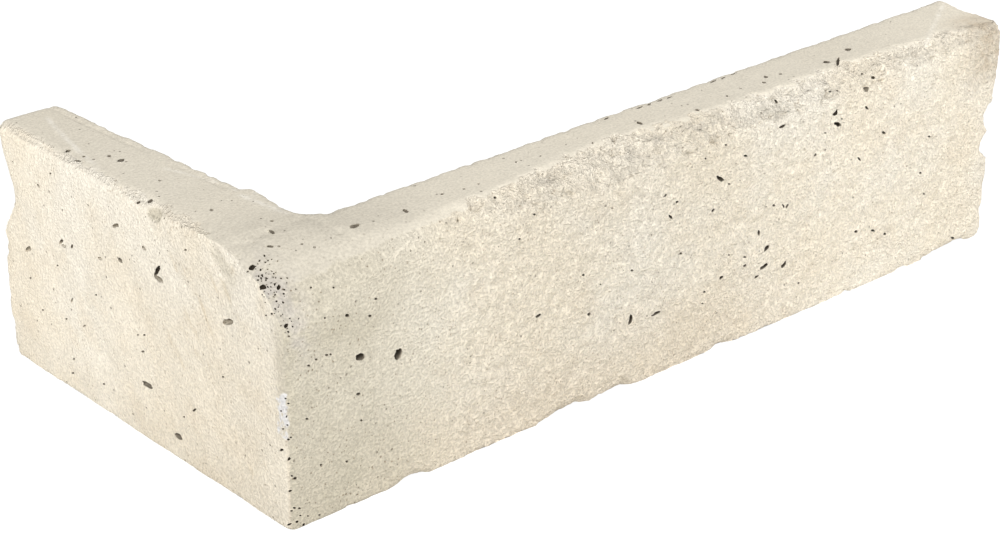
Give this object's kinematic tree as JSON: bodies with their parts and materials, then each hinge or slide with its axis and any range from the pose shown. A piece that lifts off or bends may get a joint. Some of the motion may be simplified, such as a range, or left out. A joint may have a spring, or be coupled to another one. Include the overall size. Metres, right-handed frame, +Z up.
{
  "type": "brick corner tile",
  "caption": "L-shaped decorative corner tile in cream cast concrete, with worn brick-like edges and air holes, that wraps an outside wall corner.",
  "frame": {"origin": "middle of the bounding box, on the bed face that the tile stands on", "axes": "+X along the long leg away from the outer corner, +Y along the short leg away from the outer corner, +Z up"},
  "size_m": [0.25, 0.12, 0.065],
  "materials": {
    "cast_concrete": "matte, sandy, with air holes"
  },
  "bodies": {
    "root": {"corner_tile": "cast_concrete"}
  },
  "joints": []
}
